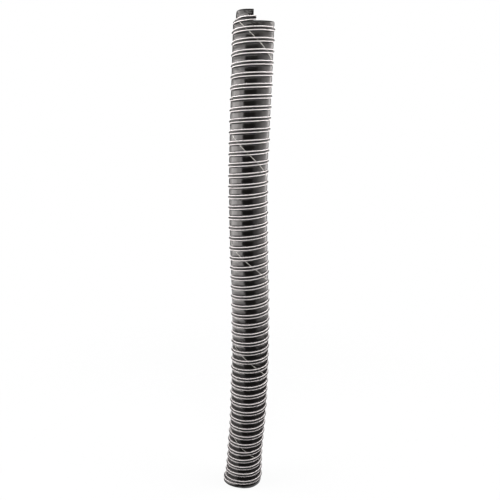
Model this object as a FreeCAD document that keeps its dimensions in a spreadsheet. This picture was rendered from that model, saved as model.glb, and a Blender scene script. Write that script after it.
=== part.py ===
import FreeCAD, Part
import math
import os

# A two-ply flexible air duct, standing on end: an inner and an outer tube of coated glass
# fabric, a spring-wire helix in a rubber cover, and two white cords that bind the fabric down
# on both sides of the covered wire. The duct is kept as a chain of short straight sections
# that follow its gentle bow, so that it can be bent and pushed together between them.
#
# Origin: centre of the lower opening, on the floor. +Z runs up the duct, -Y is the front.
# All sizes are in millimetres and all angles in degrees.

SIZES = (
    ("bore_radius", 38.1, "inside radius of the duct, a 76 mm bore"),
    ("ply_wall", 0.5, "thickness of one ply of coated fabric"),
    ("bond_line", 0.1, "gap between the inner and the outer ply"),
    ("seat_clearance", 0.2, "gap between the outer ply and what is wound on it"),
    ("wire_diameter", 1.8, "spring wire"),
    ("cover_clearance", 0.1, "gap between the wire and its cover"),
    ("cover_wall", 0.6, "wall of the rubber cover on the wire"),
    ("cord_diameter", 2.4, "binding cord"),
    ("cord_gap", 0.45, "from the wire's cover to each cord, along the duct"),
    ("turn_pitch", 22.3, "advance of one free turn of the wire"),
    ("foot_squeeze", 2.9, "how much shorter the lowest turns stand under the weight above"),
    ("top_squeeze", 1.0, "how much shorter the topmost turns were pushed in handling"),
    ("foot_clearance", 1.26, "from the lower rim to the lowest end of the lower cord"),
    ("top_margin", 16.0, "from the wire of the last turn to the cut edge of the fabric"),
    ("tail_turn", 0.35, "share of a turn that the windings run on below the front"),
    ("cord_overhang", 5.0, "how far the cords and the wire stand out of the cut step"),
    ("joint_gap", 0.2, "gap between the plies of two neighbouring sections"),
    ("end_gap", 0.9, "gap between the ends of a winding at a joint, along the winding"),
)

# Turns of wire held by each section, from the lower to the upper end.
TURNS = (3.5, 4, 4, 4, 4, 4, 4, 4, 4, 4, 4, 4.5)

# Lean of each section to the right, seen from the front: the bow that the duct stands in.
LEANS = (0.0, 6.0, 3.0, 1.5, 0.5, -1.0, -2.0, -0.5, 0.5, 2.0, 2.5, 2.0)

# Outside of the inner ply, and inside and outside of the outer one, from the sheet.
INNER_WALL = "Sizes.bore_radius + Sizes.ply_wall"
OUTER_BORE = INNER_WALL + " + Sizes.bond_line"
OUTER_WALL = OUTER_BORE + " + Sizes.ply_wall"

# Spare length of a raw tube past each trimmed end, and of what trims it past its walls.
SPARE = 10.0

# Share of the duct, from the top, whose turns were pushed together in handling.
HANDLED = 0.25

FRONT = -90.0
FULL_TURN = 360.0


def make_sheet(doc):
    """The driving dimensions, one row each: what it is, its value and its alias."""
    sheet = doc.addObject("Spreadsheet::Sheet", "Sizes")
    for row, (alias, value, meaning) in enumerate(SIZES, start=1):
        sheet.set("A%d" % row, meaning)
        sheet.set("B%d" % row, str(value))
        sheet.setAlias("B%d" % row, alias)
    doc.recompute()
    return sheet


def pitch_terms(section):
    """The shares of the foot's and of the top's squeeze that this section takes."""
    height = section / (len(TURNS) - 1.0)
    foot = (1.0 - height) ** 2
    top = max(0.0, (height - 1.0 + HANDLED) / HANDLED) ** 2
    return foot, top


def pitch_of(size, section):
    """Advance per turn in one section."""
    foot, top = pitch_terms(section)
    return size["turn_pitch"] - size["foot_squeeze"] * foot - size["top_squeeze"] * top


def length_of(size, section):
    """Length of one section along its axis. The first also holds the foot's margin."""
    length = pitch_of(size, section) * TURNS[section]
    if section == 0:
        length += foot_margin(size)
    return length


def foot_margin(size):
    """From the lower rim to the wire where it crosses the front: room for the tail below it."""
    tail = size["tail_turn"] * pitch_of(size, 0)
    return tail + cord_offset(size) + size["cord_diameter"] / 2 + size["foot_clearance"]


def cord_offset(size):
    """From the wire's centre to each cord's centre, along the duct."""
    return cover_radius(size) + size["cord_gap"] + size["cord_diameter"] / 2


def cover_radius(size):
    """Outside radius of the wire's cover."""
    return size["wire_diameter"] / 2 + size["cover_clearance"] + size["cover_wall"]


def length_expression(section):
    """The same length as an expression on the sheet, past both trimmed ends."""
    foot, top = pitch_terms(section)
    pitch = "(Sizes.turn_pitch - Sizes.foot_squeeze * %.9f - Sizes.top_squeeze * %.9f)" % (foot, top)
    margin = ""
    if section == 0:
        cover = "Sizes.wire_diameter / 2 + Sizes.cover_clearance + Sizes.cover_wall"
        cord = "Sizes.cord_gap + Sizes.cord_diameter + Sizes.foot_clearance"
        margin = " + Sizes.tail_turn * %s + %s + %s" % (pitch, cover, cord)
    return "%s * %s%s + %s" % (pitch, TURNS[section], margin, 2 * SPARE)


def frame_of(size, section):
    """Placement of a section: its axis leans about Y, and its base is where the last one ends."""
    base = FreeCAD.Vector(0, 0, 0)
    for below in range(section):
        lean = math.radians(LEANS[below])
        reach = length_of(size, below)
        base += FreeCAD.Vector(math.sin(lean) * reach, 0, math.cos(lean) * reach)
    return FreeCAD.Placement(base, FreeCAD.Rotation(FreeCAD.Vector(0, 1, 0), LEANS[section]))


def first_turn(section):
    """Turn number at a section's base. Turn 0 is the lowest one, where it crosses the front."""
    return sum(TURNS[:section])


def cylinder(doc, name, radius, height):
    """A cylinder from SPARE below the section's base to SPARE above its end."""
    body = doc.addObject("Part::Cylinder", name)
    body.setExpression("Radius", radius)
    body.setExpression("Height", height)
    body.Placement = FreeCAD.Placement(FreeCAD.Vector(0, 0, -SPARE), FreeCAD.Rotation())
    return body


def trimming_block(doc, size, name, level, tilt, upwards):
    """A block whose lower or upper face lies in the plane that a section is trimmed at."""
    half = outer_radius(size) + SPARE
    block = doc.addObject("Part::Box", name)
    block.setExpression("Length", "2 * (%s + %s)" % (OUTER_WALL, SPARE))
    block.setExpression("Width", "2 * (%s + %s)" % (OUTER_WALL, SPARE))
    block.Height = 3 * SPARE
    turned = FreeCAD.Rotation(FreeCAD.Vector(0, 1, 0), tilt)
    drop = 0.0 if upwards else -3 * SPARE
    corner = turned.multVec(FreeCAD.Vector(-half, -half, drop))
    block.Placement = FreeCAD.Placement(FreeCAD.Vector(0, 0, level) + corner, turned)
    return block


def trimming(doc, size, section, name):
    """The blocks that trim a section's tube: mitred at joints, square at the foot."""
    blocks = []
    gap = size["joint_gap"] / 2
    tilt = level = 0.0
    if section > 0:
        tilt = (LEANS[section - 1] - LEANS[section]) / 2
        level = gap
    blocks.append(trimming_block(doc, size, name + "_lower_trim", level, tilt, False))
    if section < len(TURNS) - 1:
        tilt = (LEANS[section + 1] - LEANS[section]) / 2
        level = length_of(size, section) - gap
        blocks.append(trimming_block(doc, size, name + "_upper_trim", level, tilt, True))
    else:
        blocks += step_cutters(doc, size, section, name)
    return blocks


def step_cutters(doc, size, section, name):
    """Two half-turn ramps that cut the fabric along the winding, with a step at the front."""
    outside = outer_radius(size) + 2 * SPARE
    inside = size["bore_radius"] - SPARE
    pitch = pitch_of(size, section)
    last = (TURNS[section] - 1) * pitch + size["top_margin"]
    cutters = []
    for half in range(2):
        ramp = doc.addObject("Part::Feature", "%s_step_%d" % (name, half + 1))
        start = last + half * pitch / 2
        profile = ramp_profile(inside, outside, start, half)
        path = turn_path((inside + outside) / 2, start, pitch, half / 2.0, half / 2.0 + 0.5)
        ramp.Shape = swept_ramp(path, profile)
        cutters.append(ramp)
    return cutters


def ramp_profile(inside, outside, start, half):
    """The ramp's upright section, at the front or at the back, from its lower edge up."""
    angle = math.radians(FRONT + half * FULL_TURN / 2)
    out = FreeCAD.Vector(math.cos(angle), math.sin(angle), 0)
    low = FreeCAD.Vector(0, 0, start)
    high = FreeCAD.Vector(0, 0, start + 6 * SPARE)
    corners = (out * inside + low, out * outside + low, out * outside + high, out * inside + high)
    return Part.makePolygon(list(corners) + [corners[0]])


def swept_ramp(path, profile):
    """The profile carried along the path with its sides kept upright."""
    sweep = Part.BRepOffsetAPI.MakePipeShell(path)
    sweep.setBiNormalMode(FreeCAD.Vector(0, 0, 1))
    sweep.add(profile)
    sweep.build()
    sweep.makeSolid()
    return sweep.shape()


def outer_radius(size):
    """Outside radius of the outer ply."""
    return size["bore_radius"] + 2 * size["ply_wall"] + size["bond_line"]


def ply(doc, size, section, label, inner, outer):
    """One ply of one section: a tube trimmed at both ends."""
    height = length_expression(section)
    outside = cylinder(doc, label + "_outside", outer, height)
    inside = cylinder(doc, label + "_inside", inner, height)
    tools = doc.addObject("Part::Compound", label + "_tools")
    tools.Links = [inside] + trimming(doc, size, section, label)
    tube = doc.addObject("Part::Cut", label)
    tube.Base = outside
    tube.Tool = tools
    tube.Label = label
    tube.Placement = frame_of(size, section)
    return tube


def helix_point(radius, rise, pitch, turn):
    """A point of a winding, and the direction in which the winding runs there."""
    angle = math.radians(FRONT + FULL_TURN * turn)
    point = FreeCAD.Vector(radius * math.cos(angle), radius * math.sin(angle), rise + pitch * turn)
    along = FreeCAD.Vector(-radius * math.sin(angle), radius * math.cos(angle), pitch / (2 * math.pi))
    along.normalize()
    return point, along


def arc_from(start, along, end):
    """The arc that leaves start in the direction along and ends at end."""
    chord = end - start
    half_angle = along.getAngle(chord)
    middle = (start + end) * 0.5
    corner = start + along * (chord.Length / 2 / math.cos(half_angle))
    rise = math.tan(half_angle / 2) / math.tan(half_angle)
    return Part.Arc(start, middle + (corner - middle) * rise, end).toShape()


def biarc(start, start_along, end, end_along):
    """Two tangent arcs from start to end that keep both directions."""
    span = end - start
    both = start_along + end_along
    bend = 2 * (1 - start_along.dot(end_along))
    across = span.dot(both)
    reach = (math.sqrt(across * across + bend * span.dot(span)) - across) / bend
    join = (start + start_along * reach + end - end_along * reach) * 0.5
    first = arc_from(start, start_along, join)
    meeting = (end - end_along * reach) - (start + start_along * reach)
    meeting.normalize()
    second = arc_from(join, meeting, end)
    return [first, second]


def turn_path(radius, rise, pitch, begin, finish):
    """A winding from turn begin to turn finish, whose front is at height rise at turn begin."""
    steps = max(1, int(math.ceil((finish - begin) * 4 - 1e-6)))
    edges = []
    for step in range(steps):
        low = begin + (finish - begin) * step / steps
        high = begin + (finish - begin) * (step + 1) / steps
        start, start_along = helix_point(radius, rise - pitch * begin, pitch, low)
        end, end_along = helix_point(radius, rise - pitch * begin, pitch, high)
        edges += biarc(start, start_along, end, end_along)
    return Part.Wire(edges)


def round_profile(path_start, along, radius):
    """A circle square to the winding at its start."""
    return Part.Wire([Part.Circle(path_start, along, radius).toShape()])


def winding_range(size, section, radius):
    """First and last turn of the windings in a section, with the gap left at each joint."""
    gap = size["end_gap"] / 2 / (2 * math.pi * radius)
    begin = first_turn(section) + gap
    finish = first_turn(section) + TURNS[section] - gap
    if section == 0:
        begin = -size["tail_turn"]
    if section == len(TURNS) - 1:
        finish = first_turn(section) + TURNS[section] + size["cord_overhang"] / (2 * math.pi * radius)
    return begin, finish


def winding(size, section, radius, offset, thick):
    """A round tube of the given radius, wound on the section at a distance offset from the wire."""
    pitch = pitch_of(size, section)
    begin, finish = winding_range(size, section, radius)
    base = foot_margin(size) if section == 0 else -pitch * first_turn(section)
    rise = base + pitch * begin + offset
    path = turn_path(radius, rise, pitch, begin, finish)
    start, along = helix_point(radius, rise - pitch * begin, pitch, begin)
    return path.makePipeShell([round_profile(start, along, thick)], True, False)


def wound_feature(doc, size, section, label, shape):
    """A sub-part whose shape is wound by the functions above, placed on its section."""
    feature = doc.addObject("Part::Feature", label)
    feature.Label = label
    feature.Shape = shape
    feature.Placement = frame_of(size, section)
    return feature


def spring_wire(doc, size, section):
    """The bare spring wire of one section."""
    radius = wire_seat(size)
    shape = winding(size, section, radius, 0.0, size["wire_diameter"] / 2)
    return wound_feature(doc, size, section, "spring_wire_%02d" % (section + 1), shape)


def wire_seat(size):
    """Radius at which the wire's centre is wound."""
    return outer_radius(size) + size["seat_clearance"] + cover_radius(size)


def wire_cover(doc, size, section):
    """The rubber cover of the wire: a wound tube with the wire's channel through it."""
    radius = wire_seat(size)
    solid = winding(size, section, radius, 0.0, cover_radius(size))
    channel = winding(size, section, radius, 0.0, cover_radius(size) - size["cover_wall"])
    label = "wire_cover_%02d" % (section + 1)
    return wound_feature(doc, size, section, label, solid.cut(channel))


def binding_cords(doc, size, section):
    """The two cords that bind the fabric above and below the covered wire."""
    thick = size["cord_diameter"] / 2
    radius = outer_radius(size) + size["seat_clearance"] + thick
    lower = winding(size, section, radius, -cord_offset(size), thick)
    upper = winding(size, section, radius, cord_offset(size), thick)
    label = "binding_cords_%02d" % (section + 1)
    return wound_feature(doc, size, section, label, Part.makeCompound([lower, upper]))


def print_clearances(size):
    """The least gap of each winding to itself: one lead less its thickness, taken square to it."""
    for label, radius, thick in (
        ("covered wire", wire_seat(size), 2 * cover_radius(size)),
        ("binding cord", outer_radius(size) + size["seat_clearance"] + size["cord_diameter"] / 2,
         size["cord_diameter"]),
    ):
        pitch = min(pitch_of(size, section) for section in range(len(TURNS)))
        points = [helix_point(radius, 0.0, pitch, step / 72.0)[0] for step in range(5 * 72)]
        least = min(
            (a - b).Length
            for index, a in enumerate(points)
            for b in points[index + 36:]
        )
        print("least gap of the %s to itself: %.2f mm" % (label, least - thick))


def print_frames(size):
    """Base and lean of each section, for the joints and mounts."""
    for section in range(len(TURNS)):
        base = frame_of(size, section).Base
        print("section %02d base %.4f %.4f %.4f lean %.2f length %.4f pitch %.4f" % (
            section + 1, base.x, base.y, base.z, LEANS[section], length_of(size, section),
            pitch_of(size, section)))


def build():
    """Make every sub-part, test it and write it to its own file."""
    doc = FreeCAD.newDocument("air_duct")
    sheet = make_sheet(doc)
    size = {alias: float(sheet.get(alias)) for alias, value, meaning in SIZES}
    parts = []
    for section in range(len(TURNS)):
        number = section + 1
        parts.append(ply(doc, size, section, "inner_ply_%02d" % number, "Sizes.bore_radius", INNER_WALL))
        parts.append(ply(doc, size, section, "outer_ply_%02d" % number, OUTER_BORE, OUTER_WALL))
        parts.append(spring_wire(doc, size, section))
        parts.append(wire_cover(doc, size, section))
        parts.append(binding_cords(doc, size, section))
    doc.recompute()
    for item in doc.Objects:
        if "Invalid" in item.State or "Error" in item.State:
            raise RuntimeError("%s did not build" % item.Label)
    for part in parts:
        if part.Shape.isNull() or not part.Shape.isValid():
            raise RuntimeError("%s has no valid shape" % part.Label)
    print_clearances(size)
    print_frames(size)
    os.makedirs("parts", exist_ok=True)
    for part in parts:
        part.Shape.exportStep("parts/%s.step" % part.Label)
    print("%d parts written" % len(parts))


build()
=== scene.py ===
"""Looks of a flexible two-ply air duct that stands on end.

The duct is drawn along one smooth bow through the middles of the twelve CAD sections. Each of its
layers is cut into thirteen lengths at those middles. The first and the last length ride on one
section. Each of the others covers two sections and is fixed where it lies; it does not bend with
them.
"""

import logging
import math
from dataclasses import dataclass, field
from enum import Enum
from typing import Any, Callable

import bpy
import numpy as np
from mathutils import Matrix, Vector


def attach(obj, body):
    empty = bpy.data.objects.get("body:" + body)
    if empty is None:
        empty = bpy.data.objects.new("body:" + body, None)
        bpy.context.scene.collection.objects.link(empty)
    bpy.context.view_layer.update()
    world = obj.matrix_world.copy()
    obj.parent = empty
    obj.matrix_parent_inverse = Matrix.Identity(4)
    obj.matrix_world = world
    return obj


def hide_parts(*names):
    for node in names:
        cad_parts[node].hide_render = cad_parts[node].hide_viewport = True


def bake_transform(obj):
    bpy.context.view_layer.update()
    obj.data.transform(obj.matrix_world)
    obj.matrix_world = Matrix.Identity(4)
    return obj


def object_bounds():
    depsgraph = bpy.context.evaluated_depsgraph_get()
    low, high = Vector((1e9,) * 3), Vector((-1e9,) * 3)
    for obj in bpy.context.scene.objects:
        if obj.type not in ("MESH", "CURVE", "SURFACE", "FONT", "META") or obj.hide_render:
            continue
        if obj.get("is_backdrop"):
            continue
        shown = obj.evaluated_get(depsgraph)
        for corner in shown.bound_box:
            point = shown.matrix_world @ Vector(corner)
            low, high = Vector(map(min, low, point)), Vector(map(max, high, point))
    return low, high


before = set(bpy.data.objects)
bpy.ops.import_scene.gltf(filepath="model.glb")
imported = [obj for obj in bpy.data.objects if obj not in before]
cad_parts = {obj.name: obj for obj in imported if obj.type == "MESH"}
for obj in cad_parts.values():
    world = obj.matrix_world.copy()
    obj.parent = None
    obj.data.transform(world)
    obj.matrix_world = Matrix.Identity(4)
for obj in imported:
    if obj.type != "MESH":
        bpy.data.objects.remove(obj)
CAD_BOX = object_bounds()
LOG = logging.getLogger("air_duct")
MM = 0.001


class Slot(Enum):
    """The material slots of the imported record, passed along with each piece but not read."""

    INNER = "inner_fabric"
    OUTER = "outer_fabric"
    STEEL = "spring_steel"
    COVER = "cover_rubber"
    CORD = "white_cord"


def _operator(operation: str, swapped: bool = False) -> Callable[["Term", Any], "Term"]:
    """Make the method of one operator of Term.

    Args:
        operation: Name of the operation, the same in both kinds of node.
        swapped: Whether the method's own value stands at the right.

    Returns:
        The method.
    """

    def method(term: "Term", other: Any) -> "Term":
        """Join the value and another."""
        return term.pair(operation, *((other, term) if swapped else (term, other)))

    return method


class Term:
    """A socket of a node tree whose operators add Math and Vector Math nodes."""

    def __init__(self, tree: "Tree", socket: Any) -> None:
        """Keep the tree and the output socket."""
        self.tree = tree
        self.socket = socket

    @property
    def is_vector(self) -> bool:
        """Whether the socket carries a vector."""
        return self.socket.type == "VECTOR"

    def pair(self, operation: str, first: Any, second: Any) -> "Term":
        """Add the node of a two-sided operation.

        Args:
            operation: Name of the operation, the same in both kinds of node.
            first: Left side.
            second: Right side.

        Returns:
            The result.
        """
        vectors = [isinstance(side, Term) and side.is_vector for side in (first, second)]
        if not any(vectors):
            return self.tree.math(operation, first, second)
        if operation == "MULTIPLY" and not all(vectors):
            vector, scale = (first, second) if vectors[0] else (second, first)
            if not isinstance(scale, tuple):
                return self.tree.vector("SCALE", vector, scale=scale)
        return self.tree.vector(operation, first, second)

    __add__, __radd__ = _operator("ADD"), _operator("ADD", True)
    __sub__, __rsub__ = _operator("SUBTRACT"), _operator("SUBTRACT", True)
    __mul__, __rmul__ = _operator("MULTIPLY"), _operator("MULTIPLY", True)
    __truediv__, __rtruediv__ = _operator("DIVIDE"), _operator("DIVIDE", True)
    __pow__ = _operator("POWER")

    def call(self, operation: str, *others: Any) -> "Term":
        """Any other Math operation on this value, such as SINE or MINIMUM."""
        return self.tree.math(operation, self, *others)

    def window(self, low: float, high: float) -> "Term":
        """Smooth step from 0 at low to 1 at high."""
        return self.tree.out("ShaderNodeMapRange", 0, {"interpolation_type": "SMOOTHSTEP"},
                             {"Value": self, "From Min": low, "From Max": high, "To Min": 0.0, "To Max": 1.0})

    def fract(self) -> "Term":
        """Fractional part."""
        return self.call("FRACT")

    def parts(self) -> tuple["Term", "Term", "Term"]:
        """The three components of a vector."""
        node = self.tree.node("ShaderNodeSeparateXYZ", values={"Vector": self})
        return tuple(Term(self.tree, socket) for socket in node.outputs)


class Tree:
    """Adds nodes to a shader or geometry tree and links them."""

    def __init__(self, tree: bpy.types.NodeTree) -> None:
        """Keep the node tree."""
        self.tree = tree

    @classmethod
    def opened(cls, owner: bpy.types.Material | bpy.types.World) -> "Tree":
        """The emptied shader tree of a material or the world."""
        owner.use_nodes = True
        owner.node_tree.nodes.clear()
        return cls(owner.node_tree)

    def node(self, kind: str, settings: dict[str, Any] | None = None,
             values: dict[Any, Any] | None = None) -> bpy.types.Node:
        """Add one node.

        Args:
            kind: Blender's type of the node.
            settings: Properties, set first. "stops" fills a colour ramp.
            values: Values or links of its inputs, by name or place.

        Returns:
            The node.
        """
        node = self.tree.nodes.new(kind)
        for name, value in (settings or {}).items():
            if name == "stops":
                ramp = node.color_ramp.elements
                while len(ramp) < len(value):
                    ramp.new(0.5)
                for element, (place, colour) in zip(ramp, value):
                    element.position, element.color = place, (*colour, 1.0)
            else:
                setattr(node, name, value)
        for name, value in (values or {}).items():
            if isinstance(value, Term):
                self.tree.links.new(value.socket, node.inputs[name])
            elif value is not None:
                node.inputs[name].default_value = value
        return node

    def out(self, kind: str, name: Any = 0, settings: dict[str, Any] | None = None,
            values: dict[Any, Any] | None = None) -> Term:
        """Add one node and return the named output."""
        return Term(self, self.node(kind, settings, values).outputs[name])

    def math(self, operation: str, *sides: Any) -> Term:
        """Add a Math node."""
        return self.out("ShaderNodeMath", 0, {"operation": operation}, dict(enumerate(sides)))

    def vector(self, operation: str, first: Any, second: Any = None, scale: Any = None) -> Term:
        """Add a Vector Math node.

        Args:
            operation: Name of the operation.
            first: First vector.
            second: Second vector, if the operation has one.
            scale: The factor of SCALE.

        Returns:
            The result, a vector or for DOT_PRODUCT and LENGTH a value.
        """
        values = {0: first, 1: second, "Scale": scale}
        name = "Value" if operation in ("DOT_PRODUCT", "LENGTH") else "Vector"
        return self.out("ShaderNodeVectorMath", name, {"operation": operation}, values)

    def combine(self, x: Any, y: Any, z: Any) -> Term:
        """A vector from three values."""
        return self.out("ShaderNodeCombineXYZ", 0, None, {"X": x, "Y": y, "Z": z})

    def attribute(self, name: str, vector: bool = True) -> Term:
        """A stored vector or value, in a shader."""
        return self.out("ShaderNodeAttribute", "Vector" if vector else "Fac", {"attribute_name": name})

    def mixed(self, factor: Any, first: Term, second: Term) -> Term:
        """Mix two shaders."""
        return self.out("ShaderNodeMixShader", 0, None, {0: factor, 1: first, 2: second})

    def glow(self, kind: str, colour: tuple[float, float, float], strength: float) -> Term:
        """A shader that shines: an emission or a background."""
        return self.out(kind, 0, None, {"Color": (*colour, 1.0), "Strength": strength})

    def noise(self, vector: Term, scale: float, detail: float = 2.0, seed: float = 0.0) -> Term:
        """Noise from 0 to 1 over a vector."""
        return self.out("ShaderNodeTexNoise", "Fac", {"noise_dimensions": "4D"},
                        {"Vector": vector, "W": seed, "Scale": scale, "Detail": detail})

    def blend(self, factor: Any, first: Any, second: Any) -> Term:
        """Mix two colours, or two links that carry colours."""
        return self.out("ShaderNodeMix", 2, {"data_type": "RGBA"}, {0: factor, 6: first, 7: second})


@dataclass(frozen=True)
class Bow:
    """The duct's own line: how it leans and how far its wire climbs in each section."""

    turns: tuple[float, ...] = (3.5, 4, 4, 4, 4, 4, 4, 4, 4, 4, 4, 4.5)
    leans: tuple[float, ...] = (0.0, 6.0, 3.0, 1.5, 0.5, -1.0, -2.0, -0.5, 0.5, 2.0, 2.5, 2.0)
    free_pitch: float = 22.3 * MM
    foot_squeeze: float = 2.9 * MM
    top_squeeze: float = 1.0 * MM
    handled: float = 0.25
    top_settle: float = 2.7 * MM
    settle_turn: float = 0.5
    settle_reach: float = 0.75
    foot_margin: float = 12.5 * MM
    top_margin: float = 16.0 * MM
    spare_turns: float = 2.0
    per_turn: int = 48

    def pitch_of(self, section: int) -> float:
        """Climb of the wire in one turn of a section, as in the CAD.

        Args:
            section: Number of the section, from 0.

        Returns:
            The climb: less at the foot, and at the top as far down as the duct was handled.
        """
        height = section / (len(self.turns) - 1.0)
        top = max(0.0, (height - 1.0 + self.handled) / self.handled) ** 2
        return self.free_pitch - self.foot_squeeze * (1 - height) ** 2 - self.top_squeeze * top

    @property
    def foot(self) -> float:
        """Turn number at the lower rim."""
        return -self.foot_margin / self.pitch_of(0)

    @property
    def last(self) -> float:
        """Turn number at which the windings end."""
        return float(sum(self.turns))

    @property
    def rim(self) -> float:
        """Turn number of the low side of the step at the upper rim."""
        return self.last - 1.0 + self.top_margin / self.pitch_of(len(self.turns) - 1)

    @property
    def middles(self) -> list[float]:
        """Turn number at the middle of each section.

        Returns:
            One number per section.
        """
        found, first = [], 0.0
        for section, count in enumerate(self.turns):
            shift = self.foot / 2 if section == 0 else 0.0
            found.append(first + count / 2 + shift)
            first += count
        return found

    def line(self) -> tuple[np.ndarray, np.ndarray, np.ndarray, np.ndarray]:
        """Walk the bow.

        Returns:
            Turn numbers, points, directions and pitches at even steps of a turn.
        """
        turns = np.arange(self.foot, self.last + self.spare_turns, 1.0 / self.per_turn)
        middles = self.middles
        lean = np.radians(np.interp(turns, middles, self.leans))
        pitch = np.interp(turns, middles, [self.pitch_of(i) for i in range(len(self.turns))])
        near_top = np.clip((turns - self.last + self.settle_turn) / self.settle_reach, -1.0, 1.0)
        pitch -= self.top_settle * (1.0 + np.cos(math.pi * near_top)) / (2.0 * self.settle_reach)
        along = np.stack([np.sin(lean), np.zeros_like(lean), np.cos(lean)], 1)
        steps = 0.5 * (along[1:] + along[:-1]) * (0.5 * (pitch[1:] + pitch[:-1]) / self.per_turn)[:, None]
        points = np.vstack([np.zeros(3), np.cumsum(steps, 0)])
        return turns, points, along, pitch

    def at(self, turn: float) -> Vector:
        """Point of the bow at a turn number."""
        turns, points, _, _ = self.line()
        return Vector([float(np.interp(turn, turns, points[:, axis])) for axis in range(3)])

    def pitch(self, turn: np.ndarray | float) -> np.ndarray | float:
        """Climb of the wire in one turn, at turn numbers."""
        turns, _, _, pitch = self.line()
        return np.interp(turn, turns, pitch)

    def make(self) -> bpy.types.Object:
        """Make the bow as a row of points for the trees to read.

        Returns:
            A hidden helper, removed before the end.
        """
        turns, points, along, pitch = self.line()
        mesh = bpy.data.meshes.new("bow")
        mesh.from_pydata(points.tolist(), [], [])
        store(mesh, "along", along)
        store(mesh, "pitch", pitch)
        arc = np.concatenate([[0.0], np.cumsum(np.linalg.norm(np.diff(points, axis=0), axis=1))])
        store(mesh, "arc", arc)
        return linked("bow", mesh)


def linked(name: str, data: bpy.types.ID) -> bpy.types.Object:
    """Make an object of some data and put it in the scene."""
    made = bpy.data.objects.new(name, data)
    bpy.context.scene.collection.objects.link(made)
    return made


def store(mesh: bpy.types.Mesh, name: str, values: np.ndarray) -> None:
    """Store one number or vector per vertex.

    Args:
        mesh: The mesh.
        name: Name of the attribute.
        values: One row per vertex.
    """
    kind = "FLOAT_VECTOR" if values.ndim == 2 else "FLOAT"
    layer = mesh.attributes.get(name) or mesh.attributes.new(name, kind, "POINT")
    layer.data.foreach_set("vector" if values.ndim == 2 else "value", values.astype(np.float32).ravel())


def fetch(mesh: bpy.types.Mesh, name: str, width: int = 1) -> np.ndarray:
    """Read one number or vector per vertex.

    Args:
        mesh: The mesh.
        name: Name of the attribute.
        width: 3 for a vector.

    Returns:
        One row per vertex.
    """
    values = np.zeros(len(mesh.vertices) * width, np.float32)
    mesh.attributes[name].data.foreach_get("vector" if width == 3 else "value", values)
    return values.reshape(-1, 3) if width == 3 else values


class Shape(Enum):
    """The two geometry trees."""

    PLY = "drawn_ply"
    WOUND = "wound_strand"


@dataclass(frozen=True)
class Place:
    """Where a point at a turn number and a share of a turn lies on the duct."""

    axis: Term
    outward: Term
    along: Term
    pitch: Term
    arc: Term
    angle: Term
    spread: Term

    def at(self, radius: Any) -> Term:
        """The point at a distance from the bow."""
        return self.axis + self.outward * (radius + self.spread)

    def rest(self, tree: Tree, radius: Any) -> Term:
        """The same point on the duct pulled straight, for patterns that follow the surface."""
        sine, cosine = self.angle.call("SINE"), self.angle.call("COSINE")
        return tree.combine(sine * radius, cosine * radius * -1.0, self.arc)


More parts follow.
